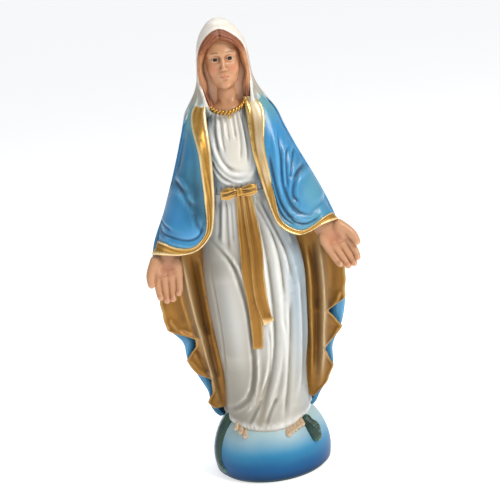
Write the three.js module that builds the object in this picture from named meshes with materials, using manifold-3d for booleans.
// A devotional statue: a robed woman stands on a globe, arms lowered and palms open.
// Millimetres, +Z up, the figure faces -Y, and the origin is the centre of the flat base.
// "left" and "right" are the viewer's, looking along +Y at the figure's front.
import * as THREE from "three";
import { mergeVertices } from "three/addons/utils/BufferGeometryUtils.js";
import Module from "manifold-3d";

const wasm = await Module();
wasm.setup();

// ---------- Driving dimensions ----------

const GAP = 0.3; // between pieces that touch on the real statue
const HEIGHT = 300;
const PAD = { radius: 36.5, thickness: 1.2 };
const GLOBE = { radius: 39.4, centreZ: 10.3 };
const WAIST_Z = 190;
const NECK_Z = 244;
const ROD = { radius: 2, bottom: 16, top: 264 };
const ARM_RADIUS = 4.6;
const CLOTH = 2.4; // thickness of the cast cloth at its edges
const TRIM = 1.2; // thickness of the raised gold bands
const CAPE_TOP_Z = 248;
const MANTLE_TOP_Z = 246;
const MANTLE_FOOT_Z = 38;

// Half axes of the gown's oval section: [height, centre x, centre y, half width, half depth].
const SKIRT = [
  [22, 0, -4, 29, 30],
  [38, 0.5, -3, 28.5, 29],
  [50, 1, -2, 28, 26],
  [65, 2, -1, 28.5, 24],
  [85, 3, -1, 31, 24],
  [110, 3, -1, 33, 25],
  [140, 3, -1, 33, 25],
  [165, 1.5, 0, 29, 22],
  [178, 0.5, 0, 25, 19.5],
  [WAIST_Z, 0, 0, 21.5, 17.5],
];
const BODICE = [
  [WAIST_Z + GAP, 0, 0, 21.5, 17.5],
  [200, 0, -1, 22.5, 19],
  [215, 0, -1, 22, 19],
  [230, 0, 0, 18.5, 15],
  [240, 0, 0.5, 13, 11.5],
  [NECK_Z, 0, 0.5, 10.5, 10],
];
// The veil's outer section, from its hem at the back up to the crown.
const VEIL = [
  [200, 0, 2, 33, 23],
  [230, 0, 2, 30.5, 19.5],
  [243, 0, 1.5, 27.5, 16.5],
  [248, 0.2, 1, 24.5, 16],
  [254, 0.4, 1, 20.8, 15.5],
  [261, 0.5, 1, 18.2, 15.5],
  [268, 0.6, 1, 17.2, 16],
  [276, 0.8, 1, 16.6, 16.5],
  [284, 0.8, 1, 15.6, 16.5],
  [290, 0.8, 1, 13.8, 15],
  [295, 0.8, 1, 11, 12],
  [298.5, 0.8, 1, 6.8, 7.5],
  [HEIGHT, 0.8, 1, 2.4, 2.8],
];
const VEIL_THICKNESS = 1.8;
const VEIL_HEM = { frontY: -12, frontZ: 247, backY: 25, backZ: 206 };

// Each side of the mantle. reach is how far out the blue cloth goes at each height, and facing how far
// out its gold lining goes. edge is the cape's front edge, |x| first: down the breast, round its
// U turn, and out along the cuff.
const SIDES = {
  left: {
    sign: -1,
    reach: [[36, 33], [44, 37], [66, 42], [80, 48], [94, 50], [104, 58], [120, 60],
      [160, 59.5], [182, 49.5], [197, 43.5], [213, 37.5], [229, 32], [239, 28.6], [250, 22]],
    facing: [[44, 33], [48, 38.5], [55, 34.6], [65, 34], [70, 43], [81, 48], [89, 41], [95, 41],
      [103, 58], [118, 60], [158, 60]],
    edge: [[13.8, -8, 248.5], [15, -13, 241], [15, -20.5, 217], [16.4, -22.5, 192], [19.6, -25, 173],
      [24, -26, 165], [31.7, -26, 159], [41.3, -25, 157.5], [51, -23, 158.4], [60, -17, 158.5]],
    liningFromX: 25,
    cuffZ: 161,
    elbow: [-37, -4, 198],
    wrist: [-52.5, -13.5, 158],
    palmTilt: 0.03,
  },
  right: {
    sign: 1,
    reach: [[36, 32], [44, 36], [63, 47], [78, 48.5], [93, 56], [104, 59], [122, 61],
      [160, 61], [182, 54], [197, 47.6], [213, 40.4], [229, 34], [239, 30.5], [250, 23]],
    facing: [[44, 32], [53, 42], [64, 47], [76, 42.5], [91, 56], [103, 47], [110, 59.5], [129, 61.5],
      [158, 61]],
    edge: [[11.3, -8, 249.5], [11.9, -13, 241], [12.5, -20.5, 217], [16.4, -22.5, 192],
      [20.8, -25, 173], [25.3, -26, 166], [33.5, -26, 161], [41.3, -25, 162], [49.7, -23, 165],
      [60.5, -17, 165.8]],
    liningFromX: 28,
    cuffZ: 167,
    elbow: [39, -4, 200],
    wrist: [52.5, -13.5, 163],
    palmTilt: 0.27,
  },
};
const MANTLE_BACK = [[36, 29], [60, 29], [110, 28.5], [150, 27], [180, 24], [205, 21], [230, 17], [250, 11]];
const MANTLE_FRONT = [[36, 0], [60, -2], [110, -6], [155, -5.5], [170, -4.5], [250, -3]];
const LINING = {
  top: 157,
  bottom: 44,
  thickness: 1.6,
  innerY: -2,
  folds: [[0, 0], [0.25, 3], [0.4, -1.5], [0.5, -1.5], [0.62, 0], [1, 0]], // [share of width, depth]
};
// The heights at which the cape's back line over the shoulder and the arm is laid out.
const CAPE_BACK = [249, 239, 226, 210, 193, 178];
const CAPE_FULLNESS = 8; // how far the cape swells forward between its two edges
const BAND_WIDTH = [[0, 7.5], [0.35, 7.5], [0.7, 3], [0.85, 4.5], [1, 5.5]];

// ---------- Materials ----------

const paint = (color, roughness, metalness = 0) =>
  new THREE.MeshStandardMaterial({ color, roughness, metalness });
const MATERIALS = {
  whiteRobe: paint(0xe6e4dc, 0.45),
  cream: paint(0xf3eadb, 0.45),
  blue: paint(0x3f8fc9, 0.4),
  globeBlue: paint(0x2c7fb5, 0.35),
  gold: paint(0xb98a35, 0.3, 0.85),
  skin: paint(0xd9a07c, 0.4),
  hair: paint(0x8f4e2a, 0.5),
  eye: paint(0x14100d, 0.08),
  snake: paint(0x1f4a31, 0.4),
  steel: paint(0x9a9a98, 0.35, 1),
  felt: paint(0x24513a, 0.95),
};

// ---------- Solids from three.js geometry ----------

// A closed geometry as a manifold solid: only its positions count, and shared vertices are merged.
function solid(geometry) {
  const bare = geometry.clone();
  bare.deleteAttribute("normal");
  bare.deleteAttribute("uv");
  const merged = mergeVertices(bare, 1e-4);
  return new wasm.Manifold(
    new wasm.Mesh({
      numProp: 3,
      vertProperties: new Float32Array(merged.attributes.position.array),
      triVerts: new Uint32Array(merged.index.array),
    }),
  );
}

// The largest body of a solid, so that no sliver is left from a cut.
function main(shape) {
  const bodies = shape.decompose();
  return bodies.reduce((best, body) => (body.volume() > best.volume() ? body : best));
}

// What is left of a solid once its neighbours have been cut out of it.
const without = (shape, ...neighbours) => neighbours.reduce((rest, n) => rest.subtract(n), shape);
const joined = (first, ...others) => others.reduce((all, o) => all.add(o), first);

// A smooth value at a height, from a table of [height, value, ...] rows in rising order.
function at(table, z, column = 1) {
  const last = table.length - 1;
  if (z <= table[0][0]) return table[0][column];
  if (z >= table[last][0]) return table[last][column];
  const i = table.findIndex((row) => row[0] > z) - 1;
  const slope = (k) => {
    const a = table[Math.max(0, k - 1)];
    const b = table[Math.min(last, k + 1)];
    return (b[column] - a[column]) / (b[0] - a[0]);
  };
  const span = table[i + 1][0] - table[i][0];
  const t = (z - table[i][0]) / span;
  const [t2, t3] = [t * t, t * t * t];
  return (
    (2 * t3 - 3 * t2 + 1) * table[i][column] +
    (t3 - 2 * t2 + t) * span * slope(i) +
    (3 * t2 - 2 * t3) * table[i + 1][column] +
    (t3 - t2) * span * slope(i + 1)
  );
}

// The value at a height, from a table of [height, value] rows joined by straight lines.
function level(table, z) {
  const i = table.findIndex((row) => row[0] >= z);
  if (i < 1) return i < 0 ? table[table.length - 1][1] : table[0][1];
  const [[z0, a], [z1, b]] = [table[i - 1], table[i]];
  return THREE.MathUtils.mapLinear(z, z0, z1, a, b);
}

const curve = (points) => new THREE.CatmullRomCurve3(points.map((p) => new THREE.Vector3(...p)));

// Moves every vertex of a geometry to where place() says.
function bend(geometry, place) {
  const position = geometry.attributes.position;
  const p = new THREE.Vector3();
  for (let i = 0; i < position.count; i++) {
    p.fromBufferAttribute(position, i);
    place(p);
    position.setXYZ(i, p.x, p.y, p.z);
  }
  return geometry;
}

// An oval column through a table of sections, with a ring at each row and perhaps more between them.
// grow moves its outside out, or in if it is negative.
function loft(table, { grow = 0, around = 24, rings = 1 } = {}) {
  const last = table.length - 1;
  const [bottom, top] = [table[0][0], table[last][0]];
  const column = new THREE.CylinderGeometry(1, 1, 1, around, last * rings).rotateX(Math.PI / 2);
  return solid(
    bend(column, (p) => {
      const row = Math.min((p.z + 0.5) * last, last - 1e-9);
      const below = Math.floor(row);
      const z = THREE.MathUtils.lerp(table[below][0], table[below + 1][0], row - below);
      p.set(
        at(table, z, 1) + p.x * (at(table, z, 3) + grow),
        at(table, z, 2) + p.y * (at(table, z, 4) + grow),
        THREE.MathUtils.mapLinear(z, bottom, top, bottom - grow, top + grow),
      );
    }),
  );
}

// A sheet of cloth: a flat slab whose middle follows surface(u, v), with u and v from 0 to 1. grow
// moves its faces and its edges out. turned swaps the side that faces out.
function sheet(surface, thickness, columns, rows, { grow = 0, turned = false } = {}) {
  const step = 1e-3;
  const edge = (t) => (Math.abs(t) > 0.499 ? Math.sign(t) * grow : 0);
  const place = (p) => {
    const u = THREE.MathUtils.clamp(turned ? 0.5 - p.x : p.x + 0.5, step, 1 - step);
    const v = THREE.MathUtils.clamp(p.y + 0.5, step, 1 - step);
    const along = surface(u + step, v).sub(surface(u - step, v)).normalize();
    const down = surface(u, v + step).sub(surface(u, v - step)).normalize();
    const normal = along.clone().cross(down).normalize();
    const sides = along.multiplyScalar(edge(turned ? -p.x : p.x));
    const ends = down.multiplyScalar(edge(p.y));
    const face = normal.multiplyScalar((turned ? -1 : 1) * p.z * (thickness + 2 * grow));
    p.copy(surface(u, v).add(sides).add(ends).add(face));
  };
  const made = solid(bend(new THREE.BoxGeometry(1, 1, 1, columns, rows, 1), place));
  return made.volume() > 0 || turned ? made : sheet(surface, thickness, columns, rows, { grow, turned: true });
}

function ellipsoid(centre, radii, { grow = 0, around = 16, rows = 10, turn = [0, 0, 0] } = {}) {
  const ball = new THREE.SphereGeometry(1, around, rows);
  ball.scale(...radii.map((r) => r + grow));
  ball.applyMatrix4(new THREE.Matrix4().makeRotationFromEuler(new THREE.Euler(...turn)));
  return solid(ball.translate(...centre));
}

// A rod with round ends between two points.
function capsule(from, to, radius, { grow = 0, around = 7, cap = 2 } = {}) {
  const [a, b] = [new THREE.Vector3(...from), new THREE.Vector3(...to)];
  const way = b.clone().sub(a);
  const rod = new THREE.CapsuleGeometry(radius + grow, way.length(), cap, around);
  const turn = new THREE.Quaternion().setFromUnitVectors(
    new THREE.Vector3(0, 1, 0),
    way.clone().normalize(),
  );
  rod.applyQuaternion(turn);
  return solid(rod.translate(...a.add(b).multiplyScalar(0.5).toArray()));
}

// A round bar between two points, square at its ends.
function bar(from, to, radius, around = 16) {
  const [a, b] = [new THREE.Vector3(...from), new THREE.Vector3(...to)];
  const way = b.clone().sub(a);
  const rod = new THREE.CylinderGeometry(radius, radius, way.length(), around);
  const turn = new THREE.Quaternion().setFromUnitVectors(
    new THREE.Vector3(0, 1, 0),
    way.clone().normalize(),
  );
  rod.applyQuaternion(turn);
  return solid(rod.translate(...a.add(b).multiplyScalar(0.5).toArray()));
}

// A round cord of constant radius along a smooth path.
function cord(points, radius, { sides = 8, steps = 16 } = {}) {
  const path = curve(points);
  const ring = new THREE.Shape();
  for (let i = 0; i < sides; i++) {
    const a = (i / sides) * 2 * Math.PI;
    ring[i ? "lineTo" : "moveTo"](radius * Math.cos(a), radius * Math.sin(a));
  }
  return solid(new THREE.ExtrudeGeometry(ring, { steps, bevelEnabled: false, extrudePath: path }));
}

// An outline in X and Z, given as points on a smooth curve, extruded along Y.
function arch(points, nearY, farY) {
  const outline = new THREE.SplineCurve(points.map(([x, z]) => new THREE.Vector2(x, z)));
  const shape = new THREE.Shape(outline.getPoints(18));
  const block = new THREE.ExtrudeGeometry(shape, { depth: farY - nearY, bevelEnabled: false });
  return solid(block.rotateX(Math.PI / 2).translate(0, farY, 0));
}

// ---------- Shapes that several pieces share ----------

const globeBall = (grow = 0) =>
  ellipsoid([0, 0, GLOBE.centreZ], Array(3).fill(GLOBE.radius), { grow, around: 32, rows: 16 });
const skirtShape = (grow = 0) => loft(SKIRT, { grow, around: 28 });
const bodiceShape = (grow = 0) => loft(BODICE, { grow });
const veilShape = (grow = 0) => loft(VEIL, { grow });
const rodHole = () => bar([0, 0, ROD.bottom - GAP], [0, 0, ROD.top + GAP], ROD.radius + GAP);

// Everything above the veil's hem, which slopes from the breast down to the back.
function aboveHem(grow = 0) {
  const { frontY, frontZ, backY, backZ } = VEIL_HEM;
  const slope = Math.atan2(backZ - frontZ, backY - frontY);
  const side = 240;
  const block = new THREE.BoxGeometry(side, side, side).translate(0, 0, side / 2 - grow);
  block.applyMatrix4(new THREE.Matrix4().makeRotationX(slope));
  return solid(block.translate(0, frontY, frontZ));
}
const veilEnvelope = (grow = 0) => veilShape(grow).intersect(aboveHem(grow));

function mantleSurface(u, v) {
  const z = THREE.MathUtils.lerp(MANTLE_TOP_Z, MANTLE_FOOT_Z, v);
  const side = u < 0.5 ? SIDES.left : SIDES.right;
  const angle = (u - 0.5) * Math.PI;
  const [front, back] = [at(MANTLE_FRONT, z), at(MANTLE_BACK, z)];
  const sine = Math.sin(angle);
  const out = Math.sign(sine) * Math.pow(Math.abs(sine), 0.85) * (at(side.reach, z) - CLOTH / 2);
  const depth = Math.pow(Math.max(0, Math.cos(angle)), 0.75);
  return new THREE.Vector3(out, front + (back - front) * depth, z);
}
const mantleShape = (grow = 0) => sheet(mantleSurface, CLOTH, 18, 12, { grow });

// The gold lining beside the gown, with an upright fold part of the way out.
function liningShape(side) {
  const surface = (u, v) => {
    const z = THREE.MathUtils.lerp(LINING.top, LINING.bottom, v);
    const outerY = at(MANTLE_FRONT, z) - CLOTH / 2 - GAP - LINING.thickness;
    const x = THREE.MathUtils.lerp(side.liningFromX, level(side.facing, z), u);
    const y = THREE.MathUtils.lerp(LINING.innerY, outerY, u) + level(LINING.folds, u);
    return new THREE.Vector3(side.sign * x, y, z);
  };
  return sheet(surface, LINING.thickness, 6, 16);
}

// The cape over one arm: u runs down its edges, and v from its back line to its front edge.
function capeSurface(side) {
  const heights = [...CAPE_BACK, side.cuffZ];
  const back = curve(heights.map((z) => [at(side.reach, z) - CLOTH / 2, at(MANTLE_FRONT, z), z]));
  const front = curve(side.edge);
  return (u, v) => {
    const p = back.getPointAt(u).lerp(front.getPointAt(u), v);
    p.y -= CAPE_FULLNESS * Math.sin(Math.PI * v) * Math.sin(Math.PI * u);
    p.x *= side.sign;
    return p;
  };
}
const capeShape = (side, grow = 0) => sheet(capeSurface(side), CLOTH, 12, 5, { grow });

// The gold band laid on the cape along its front edge.
function capeBand(side) {
  const cape = capeSurface(side);
  const step = 1e-3;
  const raised = (u, v) => {
    const size = cape(u, 0).distanceTo(cape(u, 1));
    const across = 1 - v * Math.min(0.94, level(BAND_WIDTH, u) / size);
    const along = cape(Math.min(1, u + step), across).sub(cape(Math.max(0, u - step), across));
    const inward = cape(u, across - step).sub(cape(u, across + step));
    const normal = along.cross(inward).normalize();
    if (normal.y > 0) normal.negate();
    return cape(u, across).addScaledVector(normal, CLOTH / 2 + GAP + TRIM / 2);
  };
  return sheet(raised, TRIM, 12, 1);
}

// ---------- Head ----------

const HEAD = { centre: [0.6, -1.2, 272.5], radii: [12.6, 13.6, 17] };
const NECK = { radius: 7.6, y: 1 };
const EYE = { x: 4.9, y: -12.1, z: 275, radius: 2.1 };

function headShape(grow = 0) {
  const skull = ellipsoid(HEAD.centre, HEAD.radii, { grow, around: 18, rows: 12 });
  const neck = bar([0.3, NECK.y, NECK_Z + GAP - grow], [0.5, NECK.y, 262], NECK.radius + grow);
  return skull.add(neck);
}
const eyeShape = (sign, grow = 0) =>
  ellipsoid([HEAD.centre[0] + sign * EYE.x, EYE.y, EYE.z], Array(3).fill(EYE.radius), {
    grow,
    around: 10,
    rows: 6,
  });

// The veil's opening, and the smaller one that the hair frames.
const veilOpening = () =>
  arch([[-20, 225], [-17, 250], [-15.4, 266], [-13.5, 281], [-7, 289], [0.6, 292.8],
    [8, 288.5], [14.8, 281], [16, 266], [17.5, 250], [20, 225]], -50, 0);
const faceOpening = () =>
  arch([[-8.5, 236], [-10, 256], [-12.4, 268], [-11.5, 279], [-6, 285], [0.6, 286.5],
    [7, 285], [12, 279], [13, 268], [10.6, 256], [9, 236]], -50, -3);

// ---------- Hands and feet ----------

const FINGERS = [
  { x: -6, length: 12 },
  { x: -2, length: 15 },
  { x: 2, length: 15.5 },
  { x: 6, length: 13 },
];
const FINGER_RADIUS = 2.1;

// A hand hanging from its wrist, palm to the front; sign is the side that the thumb is on.
function handShape(side, grow = 0) {
  const s = side.sign;
  const palm = ellipsoid([0, -1.5, -11.5], [9, 4, 10], { grow, around: 12, rows: 7 });
  const wrist = capsule([0, 0, -3], [0, -0.8, -8], 5, { grow, around: 10 });
  const fingers = FINGERS.map(({ x, length }) =>
    capsule([s * x, -2.5, -14], [s * x, -6, FINGER_RADIUS - 14 - length], FINGER_RADIUS, { grow }),
  );
  const thumb = capsule([s * 7.5, -2.5, -9], [s * 11, -5.5, -18], 2.4, { grow });
  const local = new THREE.Matrix4()
    .makeTranslation(...side.wrist)
    .multiply(new THREE.Matrix4().makeRotationY(-s * side.palmTilt));
  return joined(palm, wrist, thumb, ...fingers).transform(local.elements);
}

const TOE = { radius: 2.1, length: 5 };
// [first toe, last toe, how many]
const RIGHT_TOES = [[12, -33.5, 31.5], [22, -28, 35], 5];
const LEFT_TOES = [[-17.5, -31, 32.5], [-22.5, -25.5, 37], 3];

// Toes that peep out under the hem and lie down the curve of the globe.
function toes(first, last, count, grow = 0) {
  const from = new THREE.Vector3(...first);
  const made = Array.from({ length: count }, (_, i) => {
    const tip = from.clone().lerp(new THREE.Vector3(...last), i / (count - 1));
    const back = [tip.x * 0.8, tip.y * 0.55, tip.z + TOE.length];
    return capsule(back, tip.toArray(), TOE.radius, { grow });
  });
  return joined(...made);
}

// ---------- The assembly ----------

const group = new THREE.Group();

function add(name, shape, material) {
  const { vertProperties, triVerts, numProp } = main(shape).getMesh();
  const geometry = new THREE.BufferGeometry();
  const bare = new Float32Array((vertProperties.length / numProp) * 3);
  for (let i = 0; i < bare.length / 3; i++) {
    bare.set(vertProperties.subarray(i * numProp, i * numProp + 3), i * 3);
  }
  geometry.setAttribute("position", new THREE.BufferAttribute(bare, 3));
  geometry.setIndex(new THREE.BufferAttribute(triVerts, 1));
  geometry.computeVertexNormals();
  const mesh = new THREE.Mesh(geometry, material);
  mesh.name = name;
  group.add(mesh);
}

function base() {
  const pad = bar([0, 0, 0], [0, 0, PAD.thickness], PAD.radius, 40);
  const cut = bar([0, 0, -GLOBE.radius * 2], [0, 0, PAD.thickness + GAP], GLOBE.radius * 2, 8);
  add("felt_pad", pad, MATERIALS.felt);
  add("globe", without(globeBall(), cut, rodHole()), MATERIALS.globeBlue);
  add("armature_rod", bar([0, 0, ROD.bottom], [0, 0, ROD.top], ROD.radius, 12), MATERIALS.steel);
}

function gown() {
  add("gown_skirt", without(skirtShape(), globeBall(GAP), rodHole()), MATERIALS.whiteRobe);
  add("gown_bodice", without(bodiceShape(), rodHole()), MATERIALS.whiteRobe);
}

function feetAndSnake() {
  const taken = () => [globeBall(GAP), skirtShape(GAP)];
  add("foot_right", without(toes(...RIGHT_TOES), ...taken()), MATERIALS.skin);
  add("foot_left", without(toes(...LEFT_TOES), ...taken()), MATERIALS.skin);
  const head = joined(
    ellipsoid([28.5, -23.5, 27], [4.6, 4.6, 8], { turn: [-0.55, 0.35, 0] }),
    capsule([24.5, -21.5, 33], [27, -22.5, 29], 3.8),
  );
  const tail = cord([[-24, -11, 40], [-29.5, -12, 32.5], [-33.5, -13.5, 22], [-34.5, -15.5, 12],
    [-32, -20, 6.5]], 4.2, { sides: 8, steps: 10 });
  add("snake_head", without(head, ...taken(), toes(...RIGHT_TOES, GAP)), MATERIALS.snake);
  add("snake_tail", without(tail, ...taken()), MATERIALS.snake);
}

function head() {
  const pupils = [-1, 1].map((sign) => eyeShape(sign, GAP));
  const inside = veilShape(-VEIL_THICKNESS - GAP);
  const shoulder = bar([0, 0, 150], [0, 0, 246.5], 100, 8);
  add("head", without(headShape(), ...pupils, rodHole()), MATERIALS.skin);
  add("eye_left", eyeShape(-1), MATERIALS.eye);
  add("eye_right", eyeShape(1), MATERIALS.eye);
  add("hair", without(inside, headShape(GAP), ...pupils, faceOpening(), shoulder), MATERIALS.hair);
  const hollow = veilShape(-VEIL_THICKNESS);
  add("veil", without(veilEnvelope(), hollow, veilOpening(), bodiceShape(GAP)), MATERIALS.cream);
}

function mantle() {
  const veil = veilEnvelope(GAP);
  const inner = [skirtShape(GAP), bodiceShape(GAP), globeBall(GAP)];
  add("mantle", without(mantleShape(), veil, ...inner), MATERIALS.blue);
  for (const [name, side] of Object.entries(SIDES)) {
    const hand = handShape(side, GAP);
    const cape = without(capeShape(side), mantleShape(GAP), veil, ...inner, hand);
    const band = without(capeBand(side), capeShape(side, GAP), mantleShape(GAP), veil, hand);
    const lining = without(liningShape(side), mantleShape(GAP), capeShape(side, GAP), ...inner, hand);
    add("cape_" + name, cape, MATERIALS.blue);
    add("cape_band_" + name, band, MATERIALS.gold);
    add("mantle_lining_" + name, lining, MATERIALS.gold);
  }
}

function arms() {
  for (const [name, side] of Object.entries(SIDES)) {
    const [wx, wy, wz] = side.wrist;
    const s = side.sign;
    const pin = [[wx - s * 6, wy + 5, wz + 10], [wx, wy - 1, wz - 8]];
    const arm = cord([[s * 20, -2, 222], side.elbow, [wx, wy, wz - 1]], ARM_RADIUS, { sides: 8, steps: 6 });
    const pinHole = bar(pin[0], pin[1], 1 + GAP, 10);
    const neighbours = [capeShape(side, GAP), mantleShape(GAP), bodiceShape(GAP), skirtShape(GAP)];
    add("arm_" + name, without(arm, handShape(side, GAP), pinHole, ...neighbours), MATERIALS.whiteRobe);
    add("hand_" + name, without(handShape(side), pinHole, mantleShape(GAP)), MATERIALS.skin);
    add("wrist_pin_" + name, bar(pin[0], pin[1], 1, 10), MATERIALS.steel);
  }
}

// A flat ribbon that hangs down the front of the gown.
function ribbon(points, width, thickness) {
  const path = curve(points);
  const middle = (u, v) => {
    const p = path.getPoint(THREE.MathUtils.clamp(v, 0, 1));
    return p.setX(p.x + (u - 0.5) * width * THREE.MathUtils.lerp(0.62, 1, Math.min(1, v * 5)));
  };
  return sheet(middle, thickness, 2, 16);
}

function sash() {
  const skirt = skirtShape(GAP);
  const bodice = bodiceShape(GAP);
  const front = (z, lift) => at(SKIRT, z, 2) - at(SKIRT, z, 4) - lift;
  const fall = (x0, x1, end) =>
    Array.from({ length: 6 }, (_, i) => {
      const z = THREE.MathUtils.lerp(188, end, i / 5);
      return [THREE.MathUtils.lerp(x0, x1, i / 5), front(z, 1.6), z];
    });
  const knot = ellipsoid([0.2, -20.4, 191.5], [2.4, 2.2, 2.9], { around: 12, rows: 8 });
  const cuts = [skirt, bodice, ellipsoid([0.2, -20.4, 191.5], [2.4, 2.2, 2.9], { grow: GAP })];
  add("sash_knot", without(knot, skirt, bodice), MATERIALS.gold);
  for (const [name, s] of [["left", -1], ["right", 1]]) {
    const loop = ellipsoid([s * 6.6, -19.6, 191.4], [5.4, 2, 2.9], { around: 14, rows: 8 });
    add("sash_loop_" + name, without(loop, ...cuts), MATERIALS.gold);
  }
  add("sash_tail_long", without(ribbon(fall(-2.6, -1.3, 89), 6.6, 1.5), ...cuts), MATERIALS.gold);
  add("sash_tail_short", without(ribbon(fall(4.6, 7, 105), 5.6, 1.5), ...cuts), MATERIALS.gold);
}

function neckline() {
  const ring = cord([[-11.6, -6.5, 245.5], [-8, -11.5, 243], [0, -14.5, 241], [8, -11.5, 243],
    [11.6, -6.5, 245.5]], 1.5, { sides: 8, steps: 12 });
  const hollow = veilShape(-VEIL_THICKNESS - GAP);
  const hair = without(hollow, faceOpening(), bar([0, 0, 150], [0, 0, 246], 100, 8));
  const taken = [bodiceShape(GAP), headShape(GAP), hair];
  const capes = Object.values(SIDES).map((side) => capeShape(side, GAP));
  add("neckline_band", without(ring, ...taken, ...capes), MATERIALS.gold);
}

base();
gown();
feetAndSnake();
head();
mantle();
arms();
sash();
neckline();

export default group;
